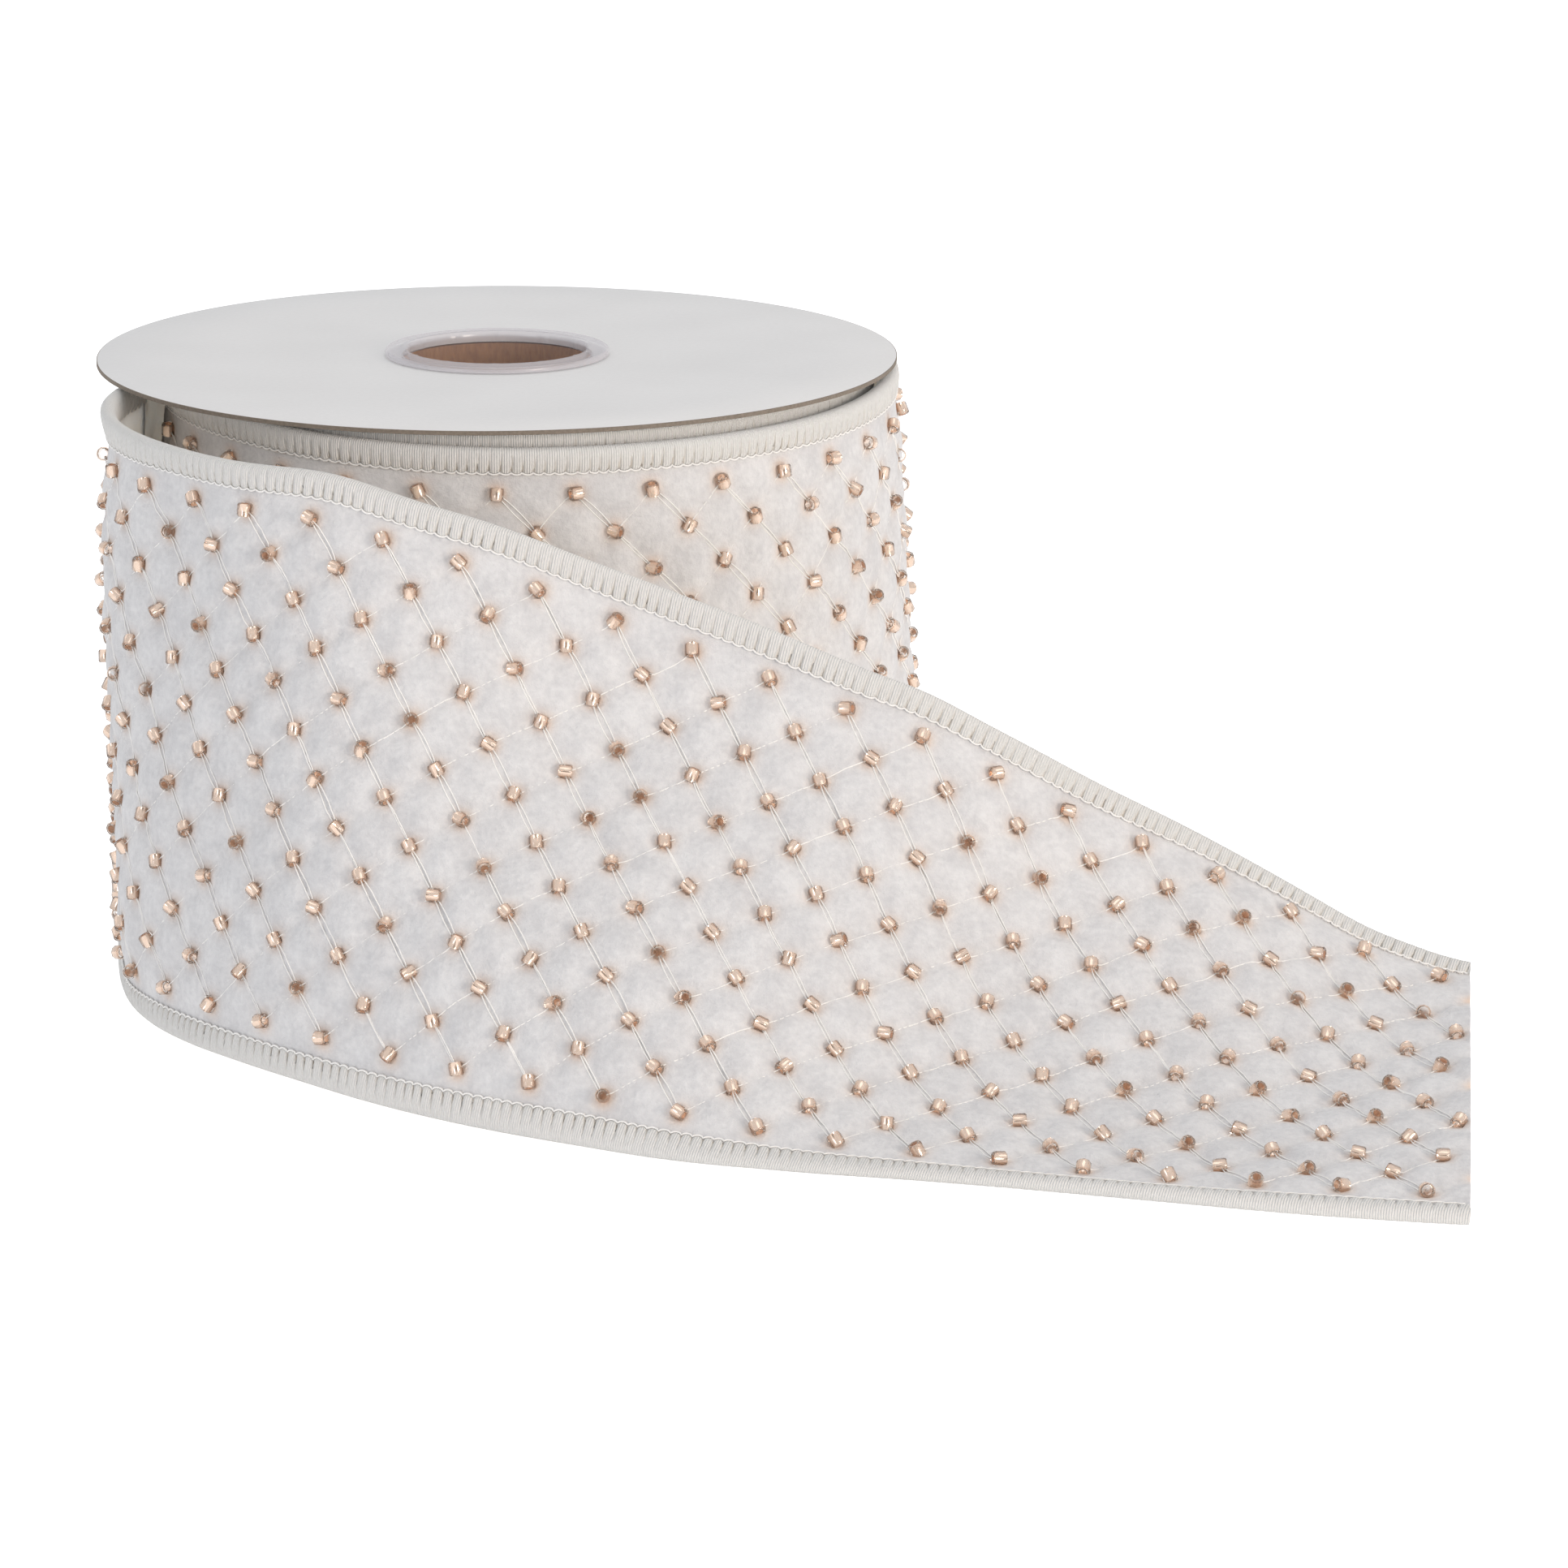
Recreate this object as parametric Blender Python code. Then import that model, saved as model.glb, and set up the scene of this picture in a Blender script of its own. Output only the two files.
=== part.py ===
"""A spool of quilted velvet ribbon with wired edges. The spool stands on its hub ring,
and the loose end of the ribbon loops off the roll at the left, comes round the front
and lies down towards its cut end at the right.

The model is worked out round the spool's axis and then centred, so that the origin
is under the middle of the whole object, on the surface that it stands on."""

import math

import bpy
import numpy as np

# Driving dimensions, in metres
GAP = 0.0003
RIBBON_WIDTH = 0.1016
UPPER_DISC_RADIUS = 0.0739
LOWER_DISC_RADIUS = 0.0712
CARD_THICKNESS = 0.0008
CORE_INNER_RADIUS = 0.0178
CORE_WALL = 0.0015
SLEEVE_INNER_RADIUS = 0.0165
SLEEVE_WALL = 0.0010
SLEEVE_DEPTH = 0.0140
FLANGE_RADIUS = 0.02075
FLANGE_THICKNESS = 0.0012
FLANGE_ROUNDING = 0.0004

# Quilting: a bead sits on each crossing of the diagonal stitch lines
HALF_DIAMOND = 0.0071
BEAD_ROWS = 13
CLOTH_THICKNESS = 0.0015
STITCH_DEPTH = 0.0003
PUFF_HEIGHT = 0.0008
EDGE_WIDTH = 0.0050
EDGE_THICKNESS = 0.0030
RIM_ROUNDING = 0.0006

# Heights of the stack, from the surface up
DISC_BOTTOM_Z = FLANGE_THICKNESS + GAP
ROLL_Z = DISC_BOTTOM_Z + CARD_THICKNESS + GAP
DISC_TOP_Z = ROLL_Z + RIBBON_WIDTH + GAP
FLANGE_TOP_Z = DISC_TOP_Z + CARD_THICKNESS + GAP
ROLL_INNER_RADIUS = CORE_INNER_RADIUS + CORE_WALL + GAP

# Steps round a turned piece, and along the roll for each half diamond
TURNED_STEPS = 48
ROLL_COLUMNS = 64
STEP_SLANT = math.radians(0.4)
HEADING_STEP = 0.001

# The wound roll: outer radius of its outermost turn at the upper and lower edge, in mm,
# by the angle round the axis in degrees from the right hand side, seen from above
ROLL_COLUMN_NAMES = ("angle", "upper", "lower")
ROLL_TABLE = (
    (-163.6, 65.0, 68.4),
    (-135, 68.0, 71.0),
    (-110, 71.6, 75.2),
    (-90, 73.4, 77.6),
    (-60, 74.6, 79.4),
    (-30, 74.6, 79.8),
    (0, 74.2, 79.4),
    (45, 72.4, 76.6),
    (90, 70.0, 73.4),
    (135, 67.2, 70.8),
    (180, 66.4, 70.4),
    (196.4, 68.6, 72.1),
)

# The loose end: where its lower edge (foot) and upper edge (head) run, seen from above,
# in mm from the spool's axis. "along" is the way along the ribbon from the roll, "lift" is
# how far the foot is held off the surface, and "crown" is how far the middle of the width
# bulges towards the beaded face. "skew" bulges the upper half and hollows the lower one.
TAIL_COLUMN_NAMES = ("along", "foot_x", "foot_y", "lift", "head_x", "head_y", "crown", "skew")
TAIL_TABLE = (
    (0, -67.6, -20.3, 2.6, -64.3, -19.4, 0.0, 0.0),
    (5, -67.9, -25.3, 2.6, -65.5, -24.6, 0.3, 0.0),
    (14, -67.7, -34.7, 2.5, -66.8, -34.2, 0.5, 0.3),
    (26, -67.0, -46.6, 2.3, -66.5, -46.6, 0.9, 0.9),
    (37, -66.1, -57.5, 2.2, -64.4, -57.7, 1.9, 1.1),
    (50, -64.5, -70.4, 2.2, -59.7, -69.8, 2.6, 0.0),
    (64, -61.7, -84.1, 2.2, -52.1, -80.8, 2.0, -2.3),
    (78, -57.2, -97.3, 2.4, -42.3, -89.7, 1.7, -1.4),
    (92, -50.2, -109.6, 2.4, -30.9, -96.6, 1.4, -0.9),
    (106, -41.1, -120.8, 2.2, -18.4, -101.8, 3.0, -1.6),
    (121, -30.2, -131.8, 1.7, -4.5, -105.3, 3.8, -2.5),
    (135, -19.2, -141.6, 1.0, 8.7, -106.8, 2.7, -3.2),
    (149, -7.8, -150.6, 0.5, 22.0, -107.2, 1.4, -4.7),
    (163, 4.1, -159.0, 0.3, 35.1, -107.8, 0.2, -4.7),
    (177, 16.2, -166.9, 0.35, 48.5, -108.9, -0.5, -4.0),
    (199, 35.5, -177.8, 0.35, 69.5, -110.8, -3.3, -1.4),
    (220, 55.1, -184.3, 0.3, 88.7, -110.3, -7.1, 0.7),
    (241, 75.3, -189.3, 0.3, 107.2, -108.5, -9.3, 0.8),
    (263, 96.7, -195.7, 0.35, 127.0, -107.7, -7.0, 1.7),
    (284, 117.5, -202.9, 0.45, 145.8, -109.7, -4.6, 1.6),
    (305, 138.2, -209.4, 0.25, 164.5, -113.2, -2.3, 0.1),
    (340, 172.3, -217.0, 0.2, 198.6, -119.9, 3.8, 2.1),
)

# The loose end is a whole number of half diamonds long, and its cut end is aslant:
# the foot is longer than the head, and the last few columns fan out to follow the cut
TAIL_COLUMNS = 46
TAIL_START = -0.0036
CUT_SLANT = 0.0190
FAN_COLUMNS = 6
SKEW_SHAPE = 10.4


def clear_scene():
    for obj in list(bpy.data.objects):
        bpy.data.objects.remove(obj, do_unlink=True)


def material(name, colour, roughness, transmission=0.0):
    """One plain Principled finish."""
    made = bpy.data.materials.new(name)
    made.use_nodes = True
    shader = made.node_tree.nodes["Principled BSDF"]
    shader.inputs["Base Color"].default_value = (*colour, 1.0)
    shader.inputs["Roughness"].default_value = roughness
    shader.inputs["Transmission Weight"].default_value = transmission
    made.diffuse_color = (*colour, 1.0)
    return made


def table_column(table, names, wanted):
    return np.array([row[names.index(wanted)] for row in table], float)


def smooth_read(stations, values, places):
    """Reads a table between its rows on cubic arcs that pass through every row."""
    slopes = np.gradient(values, stations)
    low = np.clip(np.searchsorted(stations, places) - 1, 0, len(stations) - 2)
    span = stations[low + 1] - stations[low]
    part = (places - stations[low]) / span
    start = (1 + 2 * part) * (1 - part) ** 2 * values[low]
    end = part**2 * (3 - 2 * part) * values[low + 1]
    lean_in = part * (1 - part) ** 2 * span * slopes[low]
    lean_out = part**2 * (part - 1) * span * slopes[low + 1]
    return start + end + lean_in + lean_out


def lofted(name, rings, finish, parent, endless):
    """A closed skin over rings of points, each ring a closed loop. An endless loft joins
    its last ring to its first. Another one is closed at its ends by a strip of faces
    between the two halves of the ring. Each four-sided cell is split along the diagonal
    that joins its two bead crossings, which are the points whose row and column add up
    to an even number."""
    columns, rows = rings.shape[:2]
    index = np.arange(columns * rows).reshape(columns, rows)
    faces = []
    for column in range(columns if endless else columns - 1):
        here = index[column]
        following = index[(column + 1) % columns]
        for row in range(rows):
            below = (row + 1) % rows
            a, b, c, d = here[row], here[below], following[below], following[row]
            if (row + column) % 2:
                faces += [(a, b, d), (b, c, d)]
            else:
                faces += [(a, b, c), (a, c, d)]
    if not endless:
        half = rows // 2
        for row in range(half - 1):
            mirrored = rows - 1 - row
            first = index[0]
            last = index[-1]
            faces.append((first[row], first[mirrored], first[mirrored - 1], first[row + 1]))
            faces.append((last[row], last[row + 1], last[mirrored - 1], last[mirrored]))
    mesh = bpy.data.meshes.new(name)
    mesh.from_pydata([tuple(map(float, point)) for point in rings.reshape(-1, 3)], [], faces)
    return placed(name, mesh, finish, parent)


def placed(name, mesh, finish, parent):
    """Puts a mesh in the scene with its faces smooth up to sharp creases."""
    mesh.validate()
    mesh.materials.append(finish)
    mesh.shade_smooth()
    mesh.set_sharp_from_angle(angle=math.radians(40))
    obj = bpy.data.objects.new(name, mesh)
    bpy.context.scene.collection.objects.link(obj)
    obj.parent = parent
    return obj


def turned(name, profile, finish, parent):
    """Turns a closed profile of (radius, height) points round the spool's axis."""
    angles = np.arange(TURNED_STEPS) * 2 * math.pi / TURNED_STEPS
    radius, height = np.array(profile, float).T
    rings = np.empty((TURNED_STEPS, len(profile), 3))
    rings[..., 0] = np.cos(angles)[:, None] * radius
    rings[..., 1] = np.sin(angles)[:, None] * radius
    rings[..., 2] = height
    return lofted(name, rings, finish, parent, endless=True)


def washer(name, inner, outer, low, high, finish, parent):
    """A flat ring or a tube: its profile is a rectangle, listed down the outer side."""
    profile = ((outer, high), (outer, low), (inner, low), (inner, high))
    return turned(name, profile, finish, parent)


def hub_ring(name, flange_z, toward_core, finish, parent):
    """A flat flange with rounded rims and a sleeve. toward_core is -1 for the upper ring,
    whose sleeve points down, and 1 for the lower one."""
    outer_face = flange_z + (FLANGE_THICKNESS if toward_core < 0 else 0.0)
    inner_face = outer_face + toward_core * FLANGE_THICKNESS
    sleeve_end = inner_face + toward_core * SLEEVE_DEPTH
    sleeve_outer = SLEEVE_INNER_RADIUS + SLEEVE_WALL
    rim_in = outer_face + toward_core * FLANGE_ROUNDING
    profile = [
        (SLEEVE_INNER_RADIUS + FLANGE_ROUNDING, outer_face),
        (FLANGE_RADIUS - FLANGE_ROUNDING, outer_face),
        (FLANGE_RADIUS, rim_in),
        (FLANGE_RADIUS, inner_face),
        (sleeve_outer, inner_face),
        (sleeve_outer, sleeve_end),
        (SLEEVE_INNER_RADIUS, sleeve_end),
        (SLEEVE_INNER_RADIUS, rim_in),
    ]
    if toward_core > 0:
        profile.reverse()
    return turned(name, profile, finish, parent)


def bead_row_places():
    """How far each row of beads is from the upper edge of the ribbon."""
    margin = (RIBBON_WIDTH - (BEAD_ROWS - 1) * HALF_DIAMOND) / 2
    return margin + np.arange(BEAD_ROWS) * HALF_DIAMOND


def puffs(columns, rows):
    """Height of the quilting: low at the bead crossings, high in the middle of a diamond."""
    crossing = (np.arange(columns)[:, None] + np.arange(rows)[None, :]) % 2
    return crossing * PUFF_HEIGHT


def wound_ribbon(finish, parent):
    """One ring of all the turns. Its outer face has the wired edges and the quilting of the
    outermost turn, whose end makes a step where the loose end leaves."""
    beads = bead_row_places()
    shelf = EDGE_WIDTH + GAP
    sunk = -(EDGE_THICKNESS - CLOTH_THICKNESS) / 2
    edge_down = np.array([0.0, RIM_ROUNDING, EDGE_WIDTH, shelf])
    edge_sunk = np.array([-2 * RIM_ROUNDING, 0.0, 0.0, sunk])
    down = np.concatenate([edge_down, beads, RIBBON_WIDTH - edge_down[::-1]])
    relief = np.concatenate([edge_sunk, np.full(BEAD_ROWS, sunk), edge_sunk[::-1]])
    turns = np.linspace(0.0, 1.0, ROLL_COLUMNS + 1)
    start = math.radians(ROLL_TABLE[0][0])
    angles = start + turns * (2 * math.pi - STEP_SLANT)
    table_angle = np.radians(table_column(ROLL_TABLE, ROLL_COLUMN_NAMES, "angle"))
    upper = table_column(ROLL_TABLE, ROLL_COLUMN_NAMES, "upper") / 1000
    lower = table_column(ROLL_TABLE, ROLL_COLUMN_NAMES, "lower") / 1000
    upper = smooth_read(table_angle, upper, angles)
    lower = smooth_read(table_angle, lower, angles)
    share = down / RIBBON_WIDTH
    radius = upper[:, None] * (1 - share) + lower[:, None] * share + relief
    first_bead = len(edge_down)
    quilted = slice(first_bead, first_bead + BEAD_ROWS)
    radius[:, quilted] += puffs(len(angles), BEAD_ROWS) - STITCH_DEPTH
    height = np.broadcast_to(ROLL_Z + RIBBON_WIDTH - down, radius.shape)
    inner = np.full((len(angles), 2), ROLL_INNER_RADIUS)
    inner_height = np.broadcast_to([ROLL_Z, ROLL_Z + RIBBON_WIDTH], inner.shape)
    radius = np.concatenate([radius, inner], axis=1)
    height = np.concatenate([height, inner_height], axis=1)
    rings = np.stack([
        radius * np.cos(angles)[:, None],
        radius * np.sin(angles)[:, None],
        height,
    ], axis=-1)
    return lofted("wound_ribbon", rings, finish, parent, endless=True)


def tail_edges(along):
    """Foot and head of the loose end, its crown and its skew, at distances along it. The
    head's height follows from the ribbon's width, and the foot's from its rounded rim,
    whose lowest point is held off the surface by the table's lift."""
    stations = table_column(TAIL_TABLE, TAIL_COLUMN_NAMES, "along") / 1000
    foot_x, foot_y, lift, head_x, head_y, crown, skew = (
        smooth_read(stations, table_column(TAIL_TABLE, TAIL_COLUMN_NAMES, wanted) / 1000, along)
        for wanted in TAIL_COLUMN_NAMES[1:]
    )
    chord = RIBBON_WIDTH - 8 / 3 * crown**2 / RIBBON_WIDTH
    lean_sine = np.hypot(head_x - foot_x, head_y - foot_y) / chord
    lean_cosine = np.sqrt(1 - lean_sine**2)
    half = EDGE_THICKNESS / 2
    on_rim = (half - RIM_ROUNDING) * lean_sine
    on_face = half * lean_sine - RIM_ROUNDING * lean_cosine
    foot_z = lift + np.maximum(on_rim, on_face)
    foot = np.stack([foot_x, foot_y, foot_z], axis=-1)
    head = np.stack([head_x, head_y, foot_z + chord * lean_cosine], axis=-1)
    return foot, head, crown, skew


def tail_point(along, across, offset):
    """A point of the loose end: along the ribbon, down from its upper edge, and off its
    middle surface towards the beaded face. The surface is straight from head to foot,
    raised by the crown as a parabola and by the skew as an S."""
    foot, head, crown, skew = tail_edges(along)
    foot_ahead, head_ahead, _, _ = tail_edges(along + HEADING_STEP)
    heading = foot_ahead + head_ahead - foot - head
    normal = np.cross(foot - head, heading)
    normal /= np.linalg.norm(normal, axis=-1, keepdims=True)
    share = across / RIBBON_WIDTH
    lens = share * (1 - share)
    swell = lens * (4 * crown + SKEW_SHAPE * (1 - 2 * share) * skew) + offset
    return head + (foot - head) * share[..., None] + normal * swell[..., None]


def tail_along(across):
    """Distances along the ribbon of each column of points, for each place across it."""
    column = np.arange(TAIL_COLUMNS + 1)[:, None]
    fan = np.clip((column - TAIL_COLUMNS + FAN_COLUMNS) / FAN_COLUMNS, 0.0, 1.0)
    lean = fan * CUT_SLANT * (across[None, :] / RIBBON_WIDTH - 0.5)
    return np.maximum(column * HALF_DIAMOND + TAIL_START, 0.0) + lean


def tail_strip(name, across, front, back, finish, parent):
    """A closed strip of the loose end between two places across it, with the offsets of
    its beaded face and of its back."""
    along = tail_along(across)
    places = np.broadcast_to(across, along.shape)
    faces = [
        tail_point(along, places, np.broadcast_to(front, along.shape)),
        tail_point(along, places, np.broadcast_to(back, along.shape))[:, ::-1],
    ]
    return lofted(name, np.concatenate(faces, axis=1), finish, parent, endless=False)


def ribbon_tail(finish, parent):
    """The quilted velvet between the two wired edges of the loose end."""
    shelf = EDGE_WIDTH + GAP
    beads = bead_row_places()
    margin = (shelf + beads[0]) / 2
    across = np.concatenate([
        [shelf, margin], beads, [RIBBON_WIDTH - margin, RIBBON_WIDTH - shelf],
    ])
    half = CLOTH_THICKNESS / 2
    front = np.full((TAIL_COLUMNS + 1, len(across)), half)
    front[:, 2:-2] += puffs(TAIL_COLUMNS + 1, BEAD_ROWS) - STITCH_DEPTH
    return tail_strip("ribbon_tail", across, front, -half, finish, parent)


def wired_edge(name, at_foot, finish, parent):
    """A wire oversewn with thread: a flat band with a rounded rim, along one long edge."""
    half = EDGE_THICKNESS / 2
    across = np.array([0.0, RIM_ROUNDING, EDGE_WIDTH])
    front = np.array([half - RIM_ROUNDING, half, half])
    if at_foot:
        across = RIBBON_WIDTH - across[::-1]
        front = front[::-1]
    return tail_strip(name, across, front, -front, finish, parent)


def centre_on_surface(axis):
    """Moves the spool's axis so that the whole object is centred on the origin and its
    lowest point is at height 0."""
    points = np.array([
        vertex.co[:] for obj in axis.children for vertex in obj.data.vertices
    ])
    low, high = points.min(axis=0), points.max(axis=0)
    middle = (low + high) / 2
    axis.location = (-middle[0], -middle[1], -low[2])


def main():
    clear_scene()
    card = material("card", (0.66, 0.65, 0.63), 0.8)
    brown_card = material("brown_card", (0.36, 0.24, 0.15), 0.85)
    clear_plastic = material("clear_plastic", (0.9, 0.92, 0.92), 0.12, transmission=0.9)
    velvet = material("ivory_velvet", (0.83, 0.80, 0.74), 0.9)
    thread = material("ivory_thread", (0.80, 0.76, 0.68), 0.7)
    axis = bpy.data.objects.new("spool_axis", None)
    bpy.context.scene.collection.objects.link(axis)
    for name, radius, low in (
        ("spool_disc_bottom", LOWER_DISC_RADIUS, DISC_BOTTOM_Z),
        ("spool_disc_top", UPPER_DISC_RADIUS, DISC_TOP_Z),
    ):
        washer(name, CORE_INNER_RADIUS, radius, low, low + CARD_THICKNESS, card, axis)
    core_outer = CORE_INNER_RADIUS + CORE_WALL
    roll_top = ROLL_Z + RIBBON_WIDTH
    washer("spool_core", CORE_INNER_RADIUS, core_outer, ROLL_Z, roll_top, brown_card, axis)
    hub_ring("hub_ring_bottom", 0.0, 1, clear_plastic, axis)
    hub_ring("hub_ring_top", FLANGE_TOP_Z, -1, clear_plastic, axis)
    wound_ribbon(velvet, axis)
    ribbon_tail(velvet, axis)
    wired_edge("tail_wire_edge_top", False, thread, axis)
    wired_edge("tail_wire_edge_bottom", True, thread, axis)
    centre_on_surface(axis)


main()
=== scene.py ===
# %% [markdown]
# This notebook dresses the solid model of a spool of quilted velvet ribbon. The solids give
# the spool, the roll and the loose end in their true places. The steps below lay the velvet
# with its puckered diamonds over them, oversew the wired edges, sew on the glass beads and
# finish the card, the cardboard tube and the clear hub rings.

import math

import bpy
import numpy as np
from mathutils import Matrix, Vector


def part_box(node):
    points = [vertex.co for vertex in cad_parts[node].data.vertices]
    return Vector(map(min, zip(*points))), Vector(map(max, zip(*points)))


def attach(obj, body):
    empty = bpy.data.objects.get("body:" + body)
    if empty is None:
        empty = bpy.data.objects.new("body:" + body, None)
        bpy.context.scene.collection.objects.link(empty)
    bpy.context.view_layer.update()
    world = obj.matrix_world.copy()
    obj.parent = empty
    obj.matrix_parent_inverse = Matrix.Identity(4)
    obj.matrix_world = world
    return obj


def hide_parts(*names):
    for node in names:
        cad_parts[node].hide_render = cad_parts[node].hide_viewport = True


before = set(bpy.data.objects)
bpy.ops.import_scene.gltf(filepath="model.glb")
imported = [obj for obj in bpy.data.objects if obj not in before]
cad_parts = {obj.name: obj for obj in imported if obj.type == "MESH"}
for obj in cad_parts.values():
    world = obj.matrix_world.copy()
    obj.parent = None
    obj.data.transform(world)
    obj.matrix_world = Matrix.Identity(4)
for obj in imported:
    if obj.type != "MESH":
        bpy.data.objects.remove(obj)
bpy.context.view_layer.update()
MM = 0.001
disc_low, disc_high = (np.array(corner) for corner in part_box("spool_disc_top"))
AXIS = np.array([*((disc_low + disc_high) / 2)[:2], 0.0])
print("spool's axis at", AXIS.round(5), "upper disc's top at", round(disc_high[2], 4))

# %% [markdown]
# The photograph was taken with a long lens from a little above, looking straight along the
# Y axis. Such a picture could be matched by eye, but the ribbon's regular beads gave the
# lens, the distance and the tilt by measurement, so those numbers are used as they are.

# %% Camera
FOCAL_SHARE = 10588 / 1932
CAMERA_OFFSET = np.array([0.053, -1.564, 0.394])
CAMERA_PITCH = 13.32

camera = bpy.data.objects.new("camera", bpy.data.cameras.new("camera"))
bpy.context.scene.collection.objects.link(camera)
camera.data.sensor_width = 36.0
camera.data.lens = FOCAL_SHARE * 36.0
camera.location = AXIS + CAMERA_OFFSET
camera.rotation_euler = (math.radians(90 - CAMERA_PITCH), 0.0, 0.0)
bpy.context.scene.camera = camera
print("lens", round(camera.data.lens, 1), "mm from", np.round(camera.location, 3))

# %% [markdown]
# Every finish below is a small tree of nodes. One function adds a node, sets its settings
# and its sockets, and links whatever is given as another node's output, so that each
# material reads as a list of what it is made of. Colours are written as a painter would
# pick them on a screen, and one function turns them to the linear values that light needs.

# %% Nodes and colours
def linear(code):
    """sRGB hex to linear: below 0.04045 a straight line, above it a power of 2.4."""
    parts = np.array([int(code[i : i + 2], 16) for i in (1, 3, 5)]) / 255
    light = np.where(parts <= 0.04045, parts / 12.92, ((parts + 0.055) / 1.055) ** 2.4)
    return (*light, 1.0)


def add(tree, kind, sockets=None, **settings):
    """One node with its settings. A socket's value is a number, a colour or an output."""
    node = tree.nodes.new(kind)
    for name, value in settings.items():
        setattr(node, name, value)
    for name, value in (sockets or {}).items():
        if isinstance(value, bpy.types.NodeSocket):
            tree.links.new(value, node.inputs[name])
        else:
            node.inputs[name].default_value = value
    return node


def finish_tree(name):
    """A new material with an empty tree, and the tree."""
    material = bpy.data.materials.new(name)
    material.use_nodes = True
    material.node_tree.nodes.clear()
    return material, material.node_tree


print("middle grey on a screen is", np.round(linear("#808080")[:3], 3), "in linear light")

# %% [markdown]
# The stage is a plain white floor under even light, as in a catalogue picture. A softbox
# stands at each side in front, the left one cool and the right one warmer and stronger,
# so the velvet turns from a cool to a warm white. The floor glows a little, and more for
# the camera than for the ribbon, which keeps it plain white without lighting the ribbon
# from below. The camera and whoever holds it are a dark patch in an otherwise white
# studio, and the beads mirror that patch as dark stripes.

# %% Stage and lights
floor_mesh = bpy.data.meshes.new("floor")
floor_mesh.from_pydata([(-6, -6, 0), (6, -6, 0), (6, 6, 0), (-6, 6, 0)], [], [(0, 1, 2, 3)])
floor = bpy.data.objects.new("floor", floor_mesh)
bpy.context.scene.collection.objects.link(floor)
paper, tree = finish_tree("white_paper")
seen = add(tree, "ShaderNodeLightPath").outputs["Is Camera Ray"]
glow = add(tree, "ShaderNodeMapRange", {"Value": seen, "To Min": 0.24, "To Max": 0.8}).outputs[0]
matt = add(tree, "ShaderNodeBsdfPrincipled", {
    "Base Color": linear("#FBFBFB"), "Roughness": 0.9, "Specular IOR Level": 0.1,
    "Emission Color": (1, 1, 1, 1), "Emission Strength": glow,
})
add(tree, "ShaderNodeOutputMaterial", {"Surface": matt.outputs["BSDF"]})
floor_mesh.materials.append(paper)

world = bpy.data.worlds.new("studio")
bpy.context.scene.world = world
world.use_nodes = True
tree = world.node_tree
tree.nodes.clear()
PATCH_HEIGHT = math.radians(8.0)
look = add(tree, "ShaderNodeTexCoord").outputs["Generated"]
facing = add(tree, "ShaderNodeVectorMath", {
    0: look, 1: (0, -math.cos(PATCH_HEIGHT), math.sin(PATCH_HEIGHT)),
}, operation="DOT_PRODUCT")
patch = add(tree, "ShaderNodeMapRange", {
    "Value": facing.outputs["Value"], "From Min": 0.91, "From Max": 0.97,
})
studio = add(tree, "ShaderNodeMix", {
    0: patch.outputs[0], 6: (0.97, 0.98, 1.0, 1), 7: (0.24, 0.21, 0.18, 1),
}, data_type="RGBA")
backdrop = add(tree, "ShaderNodeBackground", {"Color": studio.outputs[2], "Strength": 0.72})
add(tree, "ShaderNodeOutputWorld", {"Surface": backdrop.outputs[0]})


LAMP_AIM = (0.0, 0.0, 0.05)


def softbox(name, place, size, watts, colour):
    """A square lamp at a place, turned so that its -Z axis points at the aim."""
    lamp = bpy.data.objects.new(name, bpy.data.lights.new(name, "AREA"))
    lamp.data.size = size
    lamp.data.energy = watts
    lamp.data.color = linear(colour)[:3]
    lamp.location = place
    from_aim = lamp.location - type(lamp.location)(LAMP_AIM)
    lamp.rotation_euler = from_aim.to_track_quat("Z", "Y").to_euler()
    bpy.context.scene.collection.objects.link(lamp)


softbox("front_right", (1.2, -1.3, 0.42), 0.6, 12.5, "#FFF0E2")
softbox("front_left", (-1.3, -1.3, 0.36), 0.6, 3.4, "#EEF3FF")
softbox("overhead", (0.2, 0.1, 1.6), 1.2, 3.4, "#FFFFFF")
bpy.context.scene.view_settings.view_transform = "Standard"

# %% [markdown]
# The ribbon is one strip, so one pair of coordinates serves all of it: how far along it,
# counted from where the loose end leaves the roll, and how far across it from its upper
# edge. The outermost turn has negative distances and the loose end positive ones. The
# shapes are tables as in the solid model, in millimetres and degrees, read on smooth arcs.
# Here the turn begins a little earlier, where it dips under the end of itself. Four bell
# curves shift the loose end's upper edge where the picture shows the cloth stretched or
# slack. Each has its middle along the ribbon, its reach and its height in millimetres.

# %% The ribbon's path
WIDTH = 101.6 * MM
ROLL_BASE = 2.6 * MM
RIM_HALF = 1.5 * MM
TURN_NAMES = ("angle", "upper", "lower", "drop")
TURN_TABLE = np.array((
    (-215, 62.8, 66.6, 0.0),
    (-189, 61.0, 65.2, 0.0),
    (-163.6, 62.6, 66.6, 0.0),
    (-135, 67.2, 70.6, 0.4),
    (-110, 71.6, 75.2, 1.5),
    (-90, 73.4, 77.6, 2.2),
    (-60, 74.6, 79.4, 2.2),
    (-30, 74.6, 79.8, 1.7),
    (0, 74.2, 79.4, 0.3),
    (45, 72.4, 76.6, 0.0),
    (90, 70.0, 73.4, 0.0),
    (135, 67.2, 70.8, 0.0),
    (180, 66.4, 70.4, 0.0),
    (196.4, 68.6, 72.1, 0.0),
))
STRETCHED = ((99, 15, 1.9), (127, 14, 0.8), (208, 9, 0.7), (294, 9, -0.5))
TAIL_NAMES = ("along", "foot_x", "foot_y", "lift", "head_x", "head_y", "crown", "skew")
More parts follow.
